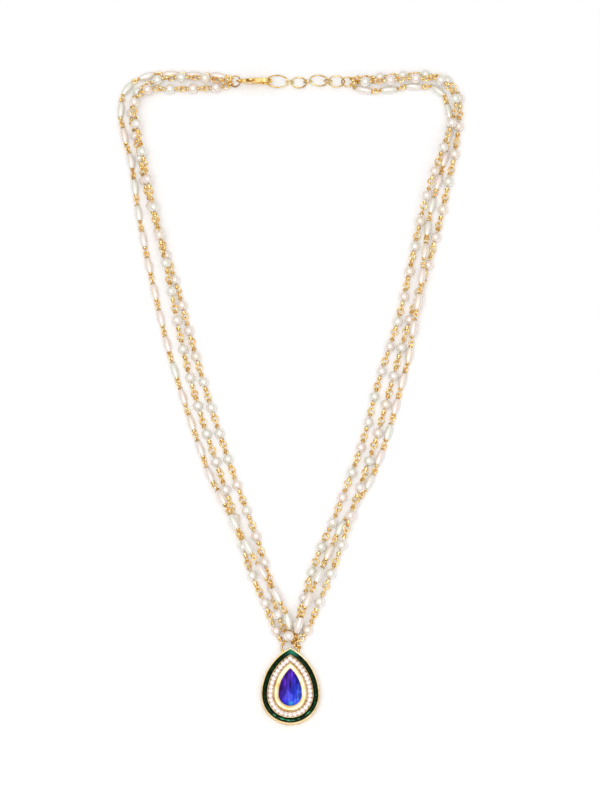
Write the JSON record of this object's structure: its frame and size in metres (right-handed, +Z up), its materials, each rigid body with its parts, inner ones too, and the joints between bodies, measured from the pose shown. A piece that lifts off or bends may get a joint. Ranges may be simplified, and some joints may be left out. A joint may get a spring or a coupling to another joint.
{
  "type": "necklace",
  "caption": "Pearl strand necklace with an enamelled pear-shaped pendant, lobster clasp and extension chain, laid flat as an open loop.",
  "frame": {"origin": "centre of the footprint of the laid-out necklace, on the surface it lies on", "axes": "+Y from the pendant towards the clasp, +X to the right with the pendant towards the viewer, +Z up out of the surface"},
  "size_m": [0.139, 0.2647, 0.0084],
  "materials": {
    "gold": "polished gold plate",
    "pearl": "pearl lustre",
    "enamel": "gloss enamel",
    "clear_stone": "cut and polished",
    "blue_stone": "cut and polished"
  },
  "bodies": {
    "necklace": {"long_pearls_left": "pearl", "long_pearls_right": "pearl", "short_pearls_left": "pearl", "short_pearls_right": "pearl", "rice_pearls_left": "pearl", "rice_pearls_right": "pearl", "long_wire_left": "gold", "long_wire_right": "gold", "short_wire_left": "gold", "short_wire_right": "gold", "rice_wire_left": "gold", "rice_wire_right": "gold", "pendant_frame": "gold", "enamel_ring": "enamel", "halo_stones": "clear_stone", "main_stone": "blue_stone", "jump_ring": "gold", "clasp_body": "gold", "clasp_ring": "gold", "end_ring": "gold", "chain_ring_1": "gold", "chain_ring_2": "gold", "chain_ring_3": "gold", "chain_ring_4": "gold", "chain_joiner_1": "gold", "chain_joiner_2": "gold", "chain_joiner_3": "gold"},
    "lever": {"clasp_lever": "gold"}
  },
  "joints": [
    {"name": "clasp_lever_hinge", "type": "hinge", "parent": "necklace", "child": "lever", "pos_m": [-0.0167, 0.127, 0.00327], "axis": [0, -0.9848, -0.1736], "range_deg": [0, 25], "stiffness_Nm_per_rad": 0.005, "springref_deg": -11.46}
  ]
}
